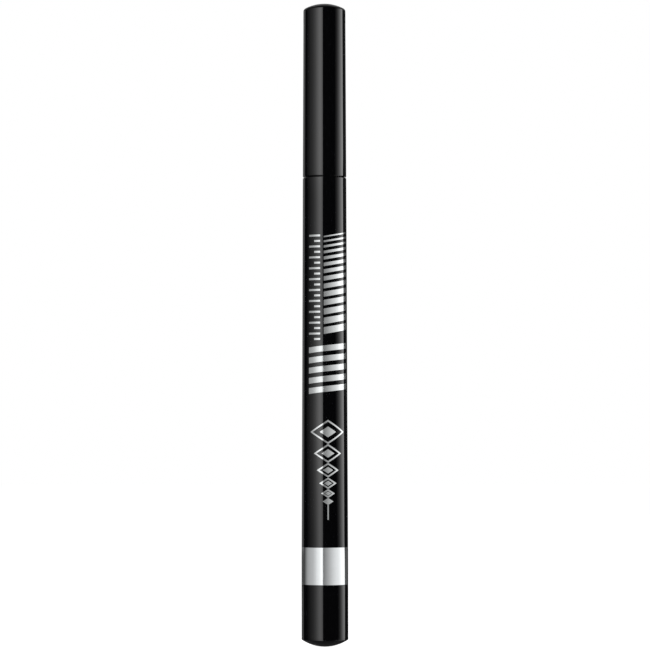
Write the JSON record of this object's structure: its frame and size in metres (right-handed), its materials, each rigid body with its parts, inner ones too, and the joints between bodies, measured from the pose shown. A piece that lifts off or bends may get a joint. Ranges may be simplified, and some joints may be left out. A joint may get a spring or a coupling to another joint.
{
  "type": "liquid eyeliner pen",
  "caption": "Slim round liquid eyeliner pen: tapered black barrel with a silver band, pull-off cap with a sprung sealing cup, comb feed and pointed brush tip.",
  "frame": {"origin": "apex of the domed tail, on the pen's axis", "axes": "+Z along the pen from the tail to the cap, +X to the right in the picture, -Y towards its camera"},
  "size_m": [0.0102, 0.0102, 0.14],
  "materials": {
    "gloss_black": "high gloss moulded black",
    "satin_black": "satin moulded black",
    "silver_foil": "bright metallised film, slightly soft",
    "steel": "polished stainless steel",
    "ivory_plastic": "fine matt moulding",
    "milky_plastic": "translucent polypropylene",
    "fibre": "bonded fibre rod",
    "bristle": "fine dark nylon bristles"
  },
  "bodies": {
    "pen": {"barrel": "gloss_black", "silver_band": "silver_foil", "end_plug": "gloss_black", "collector": "ivory_plastic", "feed_rod": "fibre", "front_section": "satin_black", "brush_retainer": "milky_plastic", "brush_tip": "bristle"},
    "cap": {"cap_shell": "gloss_black", "cap_spring": "steel"},
    "sealing_cup": {"inner_cap": "milky_plastic"},
    "ball_a": {"mixing_ball_a": "steel"},
    "ball_b": {"mixing_ball_b": "steel"}
  },
  "joints": [
    {"name": "cap_pull", "type": "slide", "parent": "pen", "child": "cap", "axis": [0, 0, 1], "range_m": [0, 0.045]},
    {"name": "cup_seat", "type": "slide", "parent": "cap", "child": "sealing_cup", "axis": [0, 0, -1], "range_m": [0, 0.0012], "deforming": ["cap_spring"]},
    {"name": "ball_a_slide", "type": "slide", "parent": "pen", "child": "ball_a", "axis": [0, 0, 1], "range_m": [0, 0.056]},
    {"name": "ball_b_slide", "type": "slide", "parent": "pen", "child": "ball_b", "axis": [0, 0, 1], "range_m": [0, 0.056]}
  ],
  "couplings": [
    {"joint": "cup_seat", "follows": "cap_pull", "ratio": 0.02666}
  ]
}
